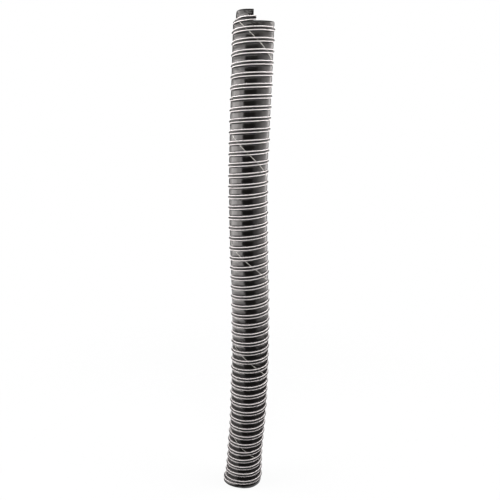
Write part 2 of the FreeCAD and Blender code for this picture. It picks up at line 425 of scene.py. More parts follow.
class Shaper:
    """Builds a geometry tree that turns a layout of turn numbers into a piece of the duct."""

    common = {
        "Bow": "NodeSocketObject",
        "First turn": 0.0,
        "Points per turn": 48.0,
        "Radius": 0.04,
        "Foot flare": 5.6 * MM,
        "Foot lift": 6.0 * MM,
        "Waist": 2.6 * MM,
        "Belly": 1.5 * MM,
        "Top pinch": 5.5 * MM,
        "Tongue lift": 4.5 * MM,
        "Web swell": 1.3 * MM,
        "Folds": 0.5 * MM,
        "Bias lead": 221.0 * MM,
        "Bound width": 4.5 * MM,
        "Dents": 0.5 * MM,
        "Seed": 3.0,
        "Finish": "NodeSocketMaterial",
    }

    # Heights over the foot, in metres, between which a form comes or goes.
    RIM = (0.0, 16.0 * MM)
    FOOT = (0.0, 45.0 * MM)
    LIFT_GROWS = (0.0, 12.0 * MM)
    LIFT_ENDS = (20.0 * MM, 85.0 * MM)
    WAIST_BEGINS = (25.0 * MM, 70.0 * MM)
    WAIST_ENDS = (110.0 * MM, 230.0 * MM)
    BELLY = (0.70, 0.86)
    DENTED = (0.0, 60.0 * MM)
    LESS_SLACK = (0.12, 0.50)

    # Turn numbers between which a form of the top comes.
    PINCHED = (47.6, 48.0)
    TONGUE = (47.9, 48.3)
    LOOSE = (46.6, 47.5)

    # Where the lifted part of the rim faces, in radians from the front to the left, how much of the
    # lift the rim itself has, and how much of the flare goes on over the foot.
    LIFT_FACES = 0.7
    RIM_LIFT = 0.6
    FOOT_FLARE = 0.35

    def __init__(self, shape: Shape, own: dict[str, float | str]) -> None:
        """Open the tree with its named inputs.

        Args:
            shape: Which tree it is.
            own: Inputs beside the common ones: a default value, or the kind of another socket.
        """
        self.group = bpy.data.node_groups.new(shape.value, "GeometryNodeTree")
        face = self.group.interface
        face.new_socket("Geometry", in_out="INPUT", socket_type="NodeSocketGeometry")
        for name, given in {**self.common, **own}.items():
            if isinstance(given, str):
                face.new_socket(name, in_out="INPUT", socket_type=given)
            else:
                face.new_socket(name, in_out="INPUT", socket_type="NodeSocketFloat").default_value = given
        face.new_socket("Geometry", in_out="OUTPUT", socket_type="NodeSocketGeometry")
        self.tree = Tree(self.group)
        self.inputs = self.tree.node("NodeGroupInput")

    def given(self, name: str) -> Term:
        """A named input of the tree."""
        return Term(self.tree, self.inputs.outputs[name])

    def noted(self, geometry: Any, name: str, value: Term) -> Term:
        """Store a value or vector on every point under a name."""
        settings = {"data_type": "FLOAT_VECTOR" if value.is_vector else "FLOAT", "domain": "POINT"}
        values = {"Geometry": geometry, "Name": name, "Value": value}
        return self.tree.out("GeometryNodeStoreNamedAttribute", 0, settings, values)

    def read(self, name: str, kind: str = "FLOAT") -> Term:
        """Read a stored value or vector."""
        return self.tree.out("GeometryNodeInputNamedAttribute", 0, {"data_type": kind}, {"Name": name})

    def geometry_of(self, name: str) -> Term:
        """The geometry of an object that is an input."""
        return self.tree.out("GeometryNodeObjectInfo", "Geometry", {"transform_space": "ORIGINAL"},
                             {"Object": self.given(name)})

    def moved(self, geometry: Term, position: Term) -> Term:
        """Move every point of a geometry."""
        return self.tree.out("GeometryNodeSetPosition", 0, None, {"Geometry": geometry, "Position": position})

    def place(self, turn: Term, share: Term) -> Place:
        """Look the bow up at a turn number and turn round it by a share of a turn.

        Args:
            turn: Turn number along the duct.
            share: Turns round the duct, from the front towards the right.

        Returns:
            The place.
        """
        tree = self.tree
        bow = self.geometry_of("Bow")
        spot = (turn - self.given("First turn")) * self.given("Points per turn")
        low = spot.call("FLOOR")
        part = spot - low

        def looked_up(value: Term, kind: str) -> Term:
            """Sample a field of the bow between two of its points."""
            settings = {"data_type": kind, "domain": "POINT", "clamp": True}
            ends = [
                tree.out("GeometryNodeSampleIndex", 0, settings,
                         {"Geometry": bow, "Value": value, "Index": low + step})
                for step in (0.0, 1.0)
            ]
            return ends[0] + (ends[1] - ends[0]) * part

        axis = looked_up(tree.out("GeometryNodeInputPosition", 0), "FLOAT_VECTOR")
        along = tree.vector("NORMALIZE", looked_up(self.read("along", "FLOAT_VECTOR"), "FLOAT_VECTOR"))
        pitch = looked_up(self.read("pitch"), "FLOAT")
        arc = looked_up(self.read("arc"), "FLOAT")
        angle = share * (2 * math.pi)
        sideways = tree.vector("CROSS_PRODUCT", (0.0, 1.0, 0.0), along)
        sine, cosine = angle.call("SINE"), angle.call("COSINE")
        outward = sideways * sine + tree.combine(0.0, cosine * -1.0, 0.0)
        left, right = (sine * -1.0).call("MAXIMUM", 0.0), sine.call("MAXIMUM", 0.0)
        edge, foot = 1.0 - arc.window(*self.RIM), 1.0 - arc.window(*self.FOOT)
        flare = left * left * (edge + foot * self.FOOT_FLARE) * self.given("Foot flare")
        pinch = left * left * turn.window(*self.PINCHED) * self.given("Top pinch")
        toward = (angle + self.LIFT_FACES).call("COSINE") * 0.5 + 0.5
        raised = arc.window(*self.LIFT_GROWS) * (1.0 - self.RIM_LIFT) + self.RIM_LIFT
        raised = raised * (1.0 - arc.window(*self.LIFT_ENDS))
        axis = axis + along * (toward * toward * raised * self.given("Foot lift"))
        axis = axis + along * (left * turn.window(*self.TONGUE) * self.given("Tongue lift"))
        waist = left * left * arc.window(*self.WAIST_BEGINS) * (1.0 - arc.window(*self.WAIST_ENDS))
        round_about = tree.combine(sine * 1.2, cosine * 1.2, arc * 5.0)
        dents = (tree.noise(round_about, 1.0, 1.0, 0.0) - 0.5) * self.given("Dents") * 2.0
        belly = right * right * arc.window(*self.BELLY) * self.given("Belly")
        spread = flare - pinch - waist * self.given("Waist") + belly + dents * arc.window(*self.DENTED)
        return Place(axis, outward, along, pitch, arc, angle, spread)

    def swell(self, place: Place, turn: Term, share: Term) -> Term:
        """How far the cloth stands out between two ridges: it swells a little and folds on the bias.

        Args:
            place: The place on the bow.
            turn: Turn number along the duct.
            share: Turns round the duct.

        Returns:
            The height over the plain tube. It is zero from the cords to the ridge.
        """
        tree = self.tree
        phase = (turn - share).fract()
        near = phase.call("MINIMUM", 1.0 - phase) * place.pitch
        half = place.pitch * 0.5
        across = ((half - near) / (half - self.given("Bound width"))).call("MINIMUM", 1.0)
        web = 1.0 - across * across
        flat = 1.0 - across ** 6.0
        twisted = place.angle + place.arc * (2 * math.pi) / self.given("Bias lead")
        bias = tree.combine(twisted.call("SINE"), twisted.call("COSINE"), place.arc * 6.0)
        sine, cosine = place.angle.call("SINE"), place.angle.call("COSINE")
        level = tree.combine(sine * 1.1, cosine * 1.1, place.arc * 70.0)
        lower, loose = 1.0 - place.arc.window(*self.LESS_SLACK), turn.window(*self.LOOSE)
        folds = tree.noise(bias, 3.6, 2.5, self.given("Seed")) - 0.5
        creases = tree.noise(level, 1.0, 2.0, self.given("Seed") + 7.0) - 0.5
        height = folds * (0.6 + 1.6 * lower + 1.8 * loose) * 2.0 + creases * (0.5 + 0.9 * lower + 0.9 * loose)
        return web * self.given("Folds") * height + flat * self.given("Web swell")

    def close(self, geometry: Term) -> bpy.types.NodeTree:
        """End the tree, shaded smooth, in Realize Instances and Set Material.

        Args:
            geometry: The shaped geometry.

        Returns:
            The finished tree.
        """
        tree = self.tree
        smooth = tree.out("GeometryNodeSetShadeSmooth", 0, None, {"Geometry": geometry, "Shade Smooth": True})
        real = tree.out("GeometryNodeRealizeInstances", 0, None, {"Geometry": smooth})
        inputs = {"Geometry": real, "Material": self.given("Finish")}
        done = tree.out("GeometryNodeSetMaterial", 0, None, inputs)
        tree.node("NodeGroupOutput", None, {0: done})
        return self.group


def ply_tree() -> bpy.types.NodeTree:
    """The tree that draws a face of a ply over the wire: webs that swell, folds on the bias.

    Returns:
        The tree. Its layout holds turn numbers in X and shares of a turn in Y.
    """
    shaper = Shaper(Shape.PLY, {})
    tree = shaper.tree
    turn, share, _ = tree.out("GeometryNodeInputPosition", 0).parts()
    noted = shaper.noted(shaper.given("Geometry"), "turn", turn)
    noted = shaper.noted(noted, "share", share)
    turn, share = shaper.read("turn"), shaper.read("share")
    place = shaper.place(turn, share)
    radius = shaper.given("Radius")
    moved = shaper.moved(noted, place.at(radius + shaper.swell(place, turn, share)))
    return shaper.close(shaper.noted(moved, "rest", place.rest(tree, radius)))


def wound_tree() -> bpy.types.NodeTree:
    """The tree that winds a strand of any profile on the duct.

    Returns:
        The tree. Its layout is a row of points that holds turn numbers in X, shares of a turn in
        Y and the strand's own length in Z. The profile's X runs along the duct and its Y outwards.
    """
    own = {
        "Profile": "NodeSocketObject",
        "Ridge height": 0.0,
        "Ridge half width": 1.9 * MM,
        "Wander": 0.0,
    }
    shaper = Shaper(Shape.WOUND, own)
    tree = shaper.tree
    noted = shaper.given("Geometry")
    names = ("turn", "share", "length")
    for name, value in zip(names, tree.out("GeometryNodeInputPosition", 0).parts()):
        noted = shaper.noted(noted, name, value)
    turn, share, length = (shaper.read(name) for name in names)
    line = tree.out("GeometryNodeMeshToCurve", 0, None, {"Mesh": noted})
    place = shaper.place(turn, share)
    off = ((turn - share + 0.5).fract() - 0.5) * place.pitch / shaper.given("Ridge half width")
    ridge = (1.0 - off * off * off * off).call("MAXIMUM", 0.0) * shaper.given("Ridge height")
    drift = tree.combine(length * 40.0, 0.0, shaper.given("Seed"))
    wander = (tree.noise(drift, 1.0, 1.0, shaper.given("Seed")) - 0.5) * shaper.given("Wander") * 2.0
    radius = shaper.given("Radius")
    spot = place.at(radius + ridge + shaper.swell(place, turn, share)) + place.along * wander
    around = tree.vector("CROSS_PRODUCT", place.along, place.outward)
    way = tree.vector("NORMALIZE", around * (radius * (2 * math.pi)) + place.along * place.pitch)
    moved = shaper.noted(shaper.moved(line, spot), "way", way)
    upright = tree.out("GeometryNodeSetCurveNormal", 0, {"mode": "FREE"},
                       {"Curve": moved, "Normal": place.outward})
    outline = tree.out("GeometryNodeMeshToCurve", 0, None, {"Mesh": shaper.geometry_of("Profile")})
    tube = tree.out("GeometryNodeCurveToMesh", 0, None,
                    {"Curve": upright, "Profile Curve": outline, "Fill Caps": True})
    place = shaper.place(turn, share)
    return shaper.close(shaper.noted(tube, "rest", place.rest(tree, radius)))


def shaped(name: str, layout: bpy.types.Mesh, group: bpy.types.NodeTree,
           values: dict[str, Any]) -> bpy.types.Mesh:
    """Run a tree on a layout.

    Args:
        name: Name of the result.
        layout: The layout.
        group: The tree.
        values: Values of its named inputs.

    Returns:
        A plain mesh, with no modifier left.
    """
    host = linked(name, layout)
    modifier = host.modifiers.new("shape", "NODES")
    modifier.node_group = group
    for item in group.interface.items_tree:
        if item.in_out == "INPUT" and item.name in values:
            modifier[item.identifier] = values[item.name]
    graph = bpy.context.evaluated_depsgraph_get()
    ready = host.evaluated_get(graph)
    mesh = bpy.data.meshes.new_from_object(ready, preserve_all_data_layers=True, depsgraph=graph)
    mesh.name = name
    bpy.data.objects.remove(host)
    bpy.data.meshes.remove(layout)
    return mesh


def row_mesh(name: str, points: Any, edges: Any = (), faces: Any = ()) -> bpy.types.Mesh:
    """A mesh of points with edges and faces, given as rows."""
    mesh = bpy.data.meshes.new(name)
    mesh.from_pydata(points, edges, faces)
    return mesh


def vectors(mesh: bpy.types.Mesh, source: Any, name: str) -> np.ndarray:
    """Read a vector of every point from a property of the mesh, one row per point."""
    values = np.zeros(len(mesh.vertices) * 3, np.float32)
    source.foreach_get(name, values)
    return values.reshape(-1, 3)


def layout_grid(turns: np.ndarray, columns: int) -> bpy.types.Mesh:
    """A layout that goes round the duct at each turn number.

    Args:
        turns: Turn numbers of its rows.
        columns: Points round the duct.

    Returns:
        The layout, closed round the duct.
    """
    shares = np.tile(np.arange(columns) / columns, len(turns))
    verts = np.stack([np.repeat(turns, columns), shares, np.zeros(len(shares))], 1)
    return row_mesh("layout", verts.tolist(), (), band_faces(0, columns, len(turns), columns).tolist())


def band_faces(first: int, stride: int, rows: int, columns: int, flip: bool = False) -> np.ndarray:
    """Faces of rows of points that close round the duct.

    Args:
        first: Index of the first point.
        stride: Points from one row to the next.
        rows: Number of rows.
        columns: Points in a row.
        flip: Whether the faces point at the axis.

    Returns:
        One row of four indices per face.
    """
    row, column = np.meshgrid(np.arange(rows - 1), np.arange(columns), indexing="ij")
    after = (column + 1) % columns
    low, high = row * stride, (row + 1) * stride
    corners = [low + column, low + after, high + after, high + column]
    faces = np.stack([first + c.ravel() for c in corners], 1)
    return faces[:, ::-1] if flip else faces


@dataclass
class Face:
    """One face of a ply along the whole duct, as points in rows and columns."""

    points: np.ndarray
    normals: np.ndarray
    rest: np.ndarray
    turn: np.ndarray

    @classmethod
    def read(cls, mesh: bpy.types.Mesh, columns: int) -> "Face":
        """Take the points, normals and attributes of a shaped layout, and drop its mesh.

        Args:
            mesh: The shaped layout.
            columns: Points in a row.

        Returns:
            The face.
        """
        points = vectors(mesh, mesh.vertices, "co")
        normals = vectors(mesh, mesh.vertex_normals, "vector")
        grids = [grid.reshape(-1, columns, 3) for grid in (points, normals, fetch(mesh, "rest", 3))]
        found = cls(*grids, fetch(mesh, "turn").reshape(-1, columns))
        bpy.data.meshes.remove(mesh)
        return found

    def part(self, rows: slice, columns: slice = slice(None)) -> "Face":
        """The part of the face in some rows and columns."""
        return Face(*(grid[rows, columns] for grid in (self.points, self.normals, self.rest, self.turn)))


def finished(name: str, verts: np.ndarray, faces: list[list[int]], notes: dict[str, np.ndarray],
             material: bpy.types.Material, sharp: float = 50.0) -> bpy.types.Object:
    """Make a piece from its points and faces.

    Args:
        name: Name of the piece.
        verts: Its points, where they lie.
        faces: Its faces.
        notes: Attributes, one row per point.
        material: Its material.
        sharp: Angle in degrees past which an edge is sharp.

    Returns:
        The piece.
    """
    mesh = row_mesh(name, verts.tolist(), (), faces)
    for note, values in notes.items():
        store(mesh, note, values)
    mesh.materials.append(material)
    mesh.shade_smooth()
    mesh.set_sharp_from_angle(angle=math.radians(sharp))
    return linked(name, mesh)


def set_end_normals(mesh: bpy.types.Mesh, wanted: dict[int, np.ndarray], face_count: int) -> None:
    """Give the points at a cut the normals that they have on the whole duct, so that no cut shows.

    Args:
        mesh: The mesh.
        wanted: Normal by index of point.
        face_count: How many of the first faces the normals hold for.
    """
    last = mesh.polygons[face_count - 1]
    loops = last.loop_start + last.loop_total
    index = np.zeros(len(mesh.loops), np.int32)
    mesh.loops.foreach_get("vertex_index", index)
    table = np.zeros((len(mesh.vertices), 3), np.float32)
    for point, normal in wanted.items():
        table[point] = normal
    normals = table[index]
    normals[loops:] = 0.0
    mesh.normals_split_custom_set(normals.tolist())


@dataclass
class Lengths:
    """The thirteen lengths that the layers are cut into, and the sections that each covers."""

    bow: Bow
    cuts: list[float] = field(init=False)

    def __post_init__(self) -> None:
        """Work the cuts out: the foot, the middle of each section and the rim."""
        self.cuts = [self.bow.foot, *self.bow.middles, self.bow.rim]

    @property
    def count(self) -> int:
        """Number of lengths."""
        return len(self.cuts) - 1

    def sections(self, length: int) -> list[int]:
        """Numbers of the sections that a length covers."""
        return sorted({max(1, length), min(len(self.bow.turns), length + 1)})

    def hang(self, piece: bpy.types.Object, length: int, slot: Slot, layer: str | None) -> None:
        """Tie a piece to its body when it covers one section, or fix it where it lies when it covers two, and
        let it stand for the CAD nodes of its layer.

        Args:
            piece: The piece.
            length: Which length it is, from the foot.
            slot: Not used.
            layer: Layer of CAD nodes that it replaces, if it does.
        """
        bodies = ["section_%02d" % number for number in self.sections(length)]
        if len(bodies) == 1:
            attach(piece, bodies[0])
        else:
            start, end = (self.bow.at(self.cuts[length + step]) for step in (0, 1))
            tuple(start)
            tuple(end)
            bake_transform(piece)
        if layer:
            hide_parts(*("%s_%02d" % (layer, number) for number in self.sections(length)))
        LOG.info("%s: %d faces on %s", piece.name, len(piece.data.polygons), ", ".join(bodies))


@dataclass
class Ply:
    """A tube of coated glass fabric, cut square at the foot and along the winding at the top."""

    layer: str
    slot: Slot
    inside: float
    outside: float
    seen_outside: bool
    seen_rows: int
    material: bpy.types.Material
    web_swell: float
    folds: float
    columns: int = 144
    hidden_rows: int = 8
    ramp_rows: int = 14
    least_rows: tuple[int, int] = (4, 2)

    def face(self, kit: "Kit", outside: bool, rows: list[int]) -> tuple[Face, list[int]]:
        """Shape one face of the ply along the whole duct.

        Args:
            kit: The shared trees and bow.
            outside: Which face.
            rows: Rows of points in each length.

        Returns:
            The face, and the row at each cut.
        """
        cuts = kit.lengths.cuts
        turns, marks = [np.array([cuts[0]])], [0]
        for low, high, count in zip(cuts, cuts[1:], rows):
            turns.append(np.linspace(low, high, count + 1)[1:])
            marks.append(marks[-1] + count)
        layout = layout_grid(np.concatenate(turns), self.columns)
        return Face.read(shaped("face", layout, kit.ply_tree, self.inputs(kit, outside)), self.columns), marks

    def inputs(self, kit: "Kit", outside: bool) -> dict[str, Any]:
        """Values of the tree's inputs for one face."""
        swell = self.web_swell * (1.0 if outside and self.seen_outside else 0.5)
        return {**kit.shared, "Radius": self.outside if outside else self.inside, "Web swell": swell,
                "Folds": self.folds, "Finish": self.material}

    def ramp(self, kit: "Kit", outside: bool) -> Face:
        """Shape the strip between the low side of the step and the cut edge.

        Args:
            kit: The shared trees and bow.
            outside: Which face.

        Returns:
            Its rows from the low side up, with one column more than the rest.
        """
        shares = np.arange(self.columns + 1) / self.columns
        climb = np.linspace(0.0, 1.0, self.ramp_rows + 1)
        turns = kit.bow.rim + climb[:, None] * shares[None, :]
        verts = np.stack([turns.ravel(), np.tile(shares, self.ramp_rows + 1), np.zeros(turns.size)], 1)
        mesh = shaped("ramp", row_mesh("layout", verts.tolist()), kit.ply_tree, self.inputs(kit, outside))
        return Face.read(mesh, self.columns + 1)

    def build(self, kit: "Kit") -> None:
        """Make the ply's thirteen pieces.

        Args:
            kit: The shared trees and bow.
        """
        spans = np.diff(kit.lengths.cuts)
        sides = (self.seen_outside, not self.seen_outside)
        wholes = [
            self.face(kit, outside, [max(least, round(span * rows)) for span in spans])
            for outside, rows, least in zip(sides, (self.seen_rows, self.hidden_rows), self.least_rows)
        ]
        for length in range(kit.lengths.count):
            parts = [face.part(slice(marks[length], marks[length + 1] + 1)) for face, marks in wholes]
            top = length == kit.lengths.count - 1
            ramps = [self.ramp(kit, outside) for outside in sides] if top else []
            piece = self.tube(parts, ramps, "%s_%02d" % (self.layer, length), length > 0)
            kit.lengths.hang(piece, length, self.slot, self.layer)

    def tube(self, parts: list[Face], ramps: list[Face], name: str, cut_below: bool) -> bpy.types.Object:
        """Join the two faces of a length into a closed wall.

        Args:
            parts: The face that is seen and the one that is hidden.
            ramps: The same faces of the strip below the cut edge, on the last length only.
            name: Name of the piece.
            cut_below: Whether another length joins below.

        Returns:
            The piece.
        """
        m = self.columns
        starts = [0, parts[0].turn.size]
        upper = [start + part.turn.size - m for start, part in zip(starts, parts)]
        flips = (not self.seen_outside, self.seen_outside)
        faces = band_faces(starts[0], m, len(parts[0].turn), m, flips[0]).tolist()
        seen_faces = len(faces)
        faces += band_faces(starts[1], m, len(parts[1].turn), m, flips[1]).tolist()

        def add(corners: Any, flip: bool = flips[0]) -> None:
            """Add a face, without the corners that fall together."""
            faces.append(list(dict.fromkeys(int(corner) for corner in (corners[::-1] if flip else corners))))

        for column in range(m):
            after = (column + 1) % m
            add((starts[0] + after, starts[0] + column, starts[1] + column, starts[1] + after))
            if not ramps:
                add((upper[0] + column, upper[0] + after, upper[1] + after, upper[1] + column))
        grids, count = [], starts[1] + parts[1].turn.size
        for start, ramp, flip in zip(upper, ramps, flips):
            grid = np.zeros(ramp.turn.shape, int)
            grid[0] = start + np.arange(m + 1) % m
            grid[:, 0] = start
            grid[1:, 1:] = count + np.arange(self.ramp_rows * m).reshape(-1, m)
            count += self.ramp_rows * m
            grids.append(grid)
            for row, column in np.ndindex(self.ramp_rows, m):
                near, far = grid[row, column:column + 2], grid[row + 1, column:column + 2]
                add((near[0], near[1], far[1], far[0]), flip)
        if ramps:
            (top, top_in), (step, step_in) = [grid[-1] for grid in grids], [grid[:, -1] for grid in grids]
            for corners in (*zip(top, top[1:], top_in[1:], top_in),
                            *zip(step[1:], step, step_in, step_in[1:])):
                add(corners)
        strips = [*parts, *(ramp.part(slice(1, None), slice(1, None)) for ramp in ramps)]
        points, rest = (np.vstack([getattr(strip, note).reshape(-1, 3) for strip in strips])
                        for note in ("points", "rest"))
        notes = {"rest": rest, "turn": np.concatenate([strip.turn.ravel() for strip in strips])}
        piece = finished(name, points, faces, notes, self.material)
        normals = parts[0].normals * (1.0 if self.seen_outside else -1.0)
        wanted = dict(enumerate(normals[0])) if cut_below else {}
        if not ramps:
            wanted.update(enumerate(normals[-1], upper[0]))
        set_end_normals(piece.data, wanted, seen_faces)
        return piece


@dataclass
class Strand:
    """Something wound on the duct: its line is a row of points, and a profile goes along it."""

    layer: str
    slot: Slot
    material: bpy.types.Material
    profile: list[tuple[float, float]]
    radius: float
    offsets: tuple[float, ...] = (0.0,)
    steps: int = 64
    wander: float = 0.0
    begin: float = -0.35
    end: float = 48.02
    replaces: bool = True
    sharp: float = 60.0

    def outline(self) -> bpy.types.Object:
        """The profile, for the tree to read.

        Returns:
            A helper, removed before the end.
        """
        count = len(self.profile)
        points = [(out, -along, 0.0) for along, out in self.profile]
        mesh = row_mesh("profile", points, [(i, (i + 1) % count) for i in range(count)])
        places = np.array(self.profile)
        store(mesh, "round", np.column_stack([places - places.mean(0), np.zeros(count)]) / MM)
        return linked("profile", mesh)

    def lines(self, kit: "Kit", length: int) -> list[np.ndarray]:
        """Points of the strand's lines in one length of the duct.

        Args:
            kit: The shared trees and bow.
            length: Which length it is.

        Returns:
            Rows of turn number, share of a turn and length of strand, for each line.
        """
        rows, bow = [], kit.bow
        low, high = kit.lengths.cuts[length:length + 2]
        for offset in self.offsets:
            first = self.begin if length == 0 else low - offset / bow.pitch(low)
            final = self.end if length == kit.lengths.count - 1 else high - offset / bow.pitch(high)
            share = np.linspace(first, final, max(2, round((final - first) * self.steps)) + 1)
            turn = share + offset / bow.pitch(share)
            rows.append(np.stack([turn, share, share * 2 * math.pi * self.radius], 1))
        return rows

    def build(self, kit: "Kit") -> None:
        """Make the strand's thirteen pieces.

        Args:
            kit: The shared trees and bow.
        """
        outline = self.outline()
        for length in range(kit.lengths.count):
            rows = self.lines(kit, length)
            edges, first = [], 0
            for row in rows:
                edges += [(first + i, first + i + 1) for i in range(len(row) - 1)]
                first += len(row)
            name = "%s_%02d" % (self.layer, length)
            layout = row_mesh("layout", np.vstack(rows).tolist(), edges)
            mesh = shaped(name, layout, kit.wound_tree, self.inputs(kit, outline))
            self.square_ends(mesh, [len(row) for row in rows], length, kit)
            kit.lengths.hang(linked(name, mesh), length, self.slot, self.layer if self.replaces else None)
        bpy.data.objects.remove(outline)

    def inputs(self, kit: "Kit", outline: bpy.types.Object) -> dict[str, Any]:
        """Values of the tree's inputs."""
        return {**kit.shared, "Radius": self.radius, "Profile": outline, "Wander": self.wander,
                "Finish": self.material}

    def square_ends(self, mesh: bpy.types.Mesh, counts: list[int], length: int, kit: "Kit") -> None:
        """Turn the end rings square to the winding, with the normals of the whole strand.

        Args:
            mesh: The mesh.
            counts: Points of each line in it.
            length: Which length it is.
            kit: The shared trees and bow.
        """
        sides = len(self.profile)
        if len(mesh.vertices) != sum(counts) * sides:
            LOG.warning("%s: ends left as they are", mesh.name)
            return
        points, normals = vectors(mesh, mesh.vertices, "co"), vectors(mesh, mesh.vertex_normals, "vector")
        way = fetch(mesh, "way", 3)
        wanted, first, last = {}, 0, kit.lengths.count - 1
        for count in counts:
            for ring, joined in ((first, length > 0), (first + (count - 1) * sides, length < last)):
                index = np.arange(ring, ring + sides)
                along = way[ring] / np.linalg.norm(way[ring])
                centre = points[index].mean(0)
                points[index] -= ((points[index] - centre) @ along)[:, None] * along
                if joined:
                    inner = index + (sides if ring == first else -sides)
                    normal = normals[inner] - (normals[inner] @ along)[:, None] * along
                    normal /= np.linalg.norm(normal, axis=1)[:, None]
                    wanted.update(dict(zip(index.tolist(), normal)))
            first += count * sides
        mesh.vertices.foreach_set("co", points.ravel())
        mesh.update()
        mesh.set_sharp_from_angle(angle=math.radians(self.sharp))
        set_end_normals(mesh, wanted, sum(1 for polygon in mesh.polygons if polygon.loop_total == 4))


@dataclass
class Lap(Strand):
    """The edge of the outer ply's lap: a thin pale line on a steep left-hand slant."""

    replaces: bool = False
    turns_per_round: float = 10.5
    front_turn: float = 46.4
    steps: int = 24
    inset: float = 0.02
    ridge_height: float = 3.42 * MM
    length_per_turn: float = 31.0 * MM

    def lines(self, kit: "Kit", length: int) -> list[np.ndarray]:
        """Points of the lap in one length of the duct.

        Args:
            kit: The shared trees and bow.
            length: Which length it is.

        Returns:
            Rows of turn number, share of a turn and length of strand, for its one line.
        """
        low, high = kit.lengths.cuts[length:length + 2]
        low += self.inset if length == 0 else 0.0
        high -= self.inset if length == kit.lengths.count - 1 else 0.0
        turn = np.linspace(low, high, max(2, round((high - low) * self.steps)) + 1)
        share = -(turn - self.front_turn) / self.turns_per_round
        return [np.stack([turn, share, turn * self.length_per_turn], 1)]

    def inputs(self, kit: "Kit", outline: bpy.types.Object) -> dict[str, Any]:
        """Values of the tree's inputs: this strand climbs over the ridge."""
        return {**super().inputs(kit, outline), "Ridge height": self.ridge_height}

    def square_ends(self, mesh: bpy.types.Mesh, counts: list[int], length: int, kit: "Kit") -> None:
        """Leave the ends as they are: the line is matt."""


@dataclass
class Kit:
    """What the pieces share: the bow, the lengths and the trees."""

    bow: Bow
    lengths: Lengths = field(init=False)
    helper: bpy.types.Object = field(init=False)
    shared: dict[str, Any] = field(init=False)
    ply_tree: bpy.types.NodeTree = field(init=False)
    wound_tree: bpy.types.NodeTree = field(init=False)

    def __post_init__(self) -> None:
        """Make the helper and the trees."""
        self.lengths = Lengths(self.bow)
        self.helper = self.bow.make()
        self.shared = {"Bow": self.helper, "First turn": self.bow.foot,
                       "Points per turn": float(self.bow.per_turn)}
        self.ply_tree, self.wound_tree = ply_tree(), wound_tree()

    def clear(self) -> None:
        """Remove the helper."""
        bpy.data.objects.remove(self.helper)


def material(name: str, surface: Callable[[Tree], Term]) -> bpy.types.Material:
    """Make a material.

    Args:
        name: Its name.
        surface: Builds its nodes and returns the shader.

    Returns:
        The material.
    """
    made = bpy.data.materials.new(name)
    tree = Tree.opened(made)
    tree.node("ShaderNodeOutputMaterial", None, {"Surface": surface(tree)})
    return made


@dataclass(frozen=True)
class Wall:
    """Where a shaded point lies on the duct, for patterns that follow its surface."""

    rest: Term
    angle: Term
    along: Term
    near: Term

    @classmethod
    def read(cls, tree: Tree, pitch: float = 21.3 * MM) -> "Wall":
        """Read the stored attributes.

        Args:
            tree: The shader tree.
            pitch: Climb of the wire in one turn, about.

        Returns:
            The place: point on the straight duct, angle, height, and distance from the nearest ridge.
        """
        rest, turn = tree.attribute("rest"), tree.attribute("turn", vector=False)
        x, y, z = rest.parts()
        angle = tree.math("ARCTAN2", x, y * -1.0)
        phase = (turn - angle / (2 * math.pi)).fract()
        return cls(rest, angle, z, phase.call("MINIMUM", 1.0 - phase) * pitch)

    def streaks(self, tree: Tree, across: float, seed: float, detail: float = 2.0) -> Term:
        """Noise drawn out round the duct, with so many streaks a metre along it."""
        x, y, z = self.rest.parts()
        return tree.noise(tree.combine(x * 16.0, y * 16.0, z * across), 1.0, detail, seed)

    def weave(self, tree: Tree, threads: int, radius: float) -> Term:
        """Threads on the bias, so many in each direction round the duct."""
        across, rise = self.angle * threads, self.along * (threads / radius)
        return (across + rise).call("SINE") * (across - rise).call("SINE")


@dataclass(frozen=True)
class Finish:
    """A finish: its name, its two colours and its gloss."""

    name: str
    dark: tuple[float, float, float]
    light: tuple[float, float, float]
    smooth: float
    rough: float
    ior: float = 1.5

    def make(self) -> bpy.types.Material:
        """Make the material."""
        return material(self.name, self.surface)

    def surface(self, tree: Tree) -> Term:
        """Build the nodes.

        Args:
            tree: The shader tree.

        Returns:
            The shader.
        """
        raise NotImplementedError

    def colour(self, tree: Tree, mix: Any) -> Term:
        """A colour between the two of the finish."""
        return tree.blend(mix, (*self.dark, 1.0), (*self.light, 1.0))

    def gloss(self, mix: Term) -> Term:
        """A roughness between the two of the finish."""
        return mix * (self.rough - self.smooth) + self.smooth

    def bump(self, tree: Tree, height: Term, depth: float, strength: float = 1.0) -> Term:
        """A normal from a height, with its depth in metres."""
        inputs = {"Height": height, "Distance": depth, "Strength": strength}
        return tree.out("ShaderNodeBump", 0, None, inputs)

    def principled(self, tree: Tree, colour: Term, roughness: Term, normal: Term, **fixed: float) -> Term:
        """The shader itself, with any other sockets set to fixed values."""
        values = {"Base Color": colour, "Roughness": roughness, "Normal": normal, "IOR": self.ior}
        values.update({name.replace("_", " "): value for name, value in fixed.items()})
        return tree.out("ShaderNodeBsdfPrincipled", 0, None, values)


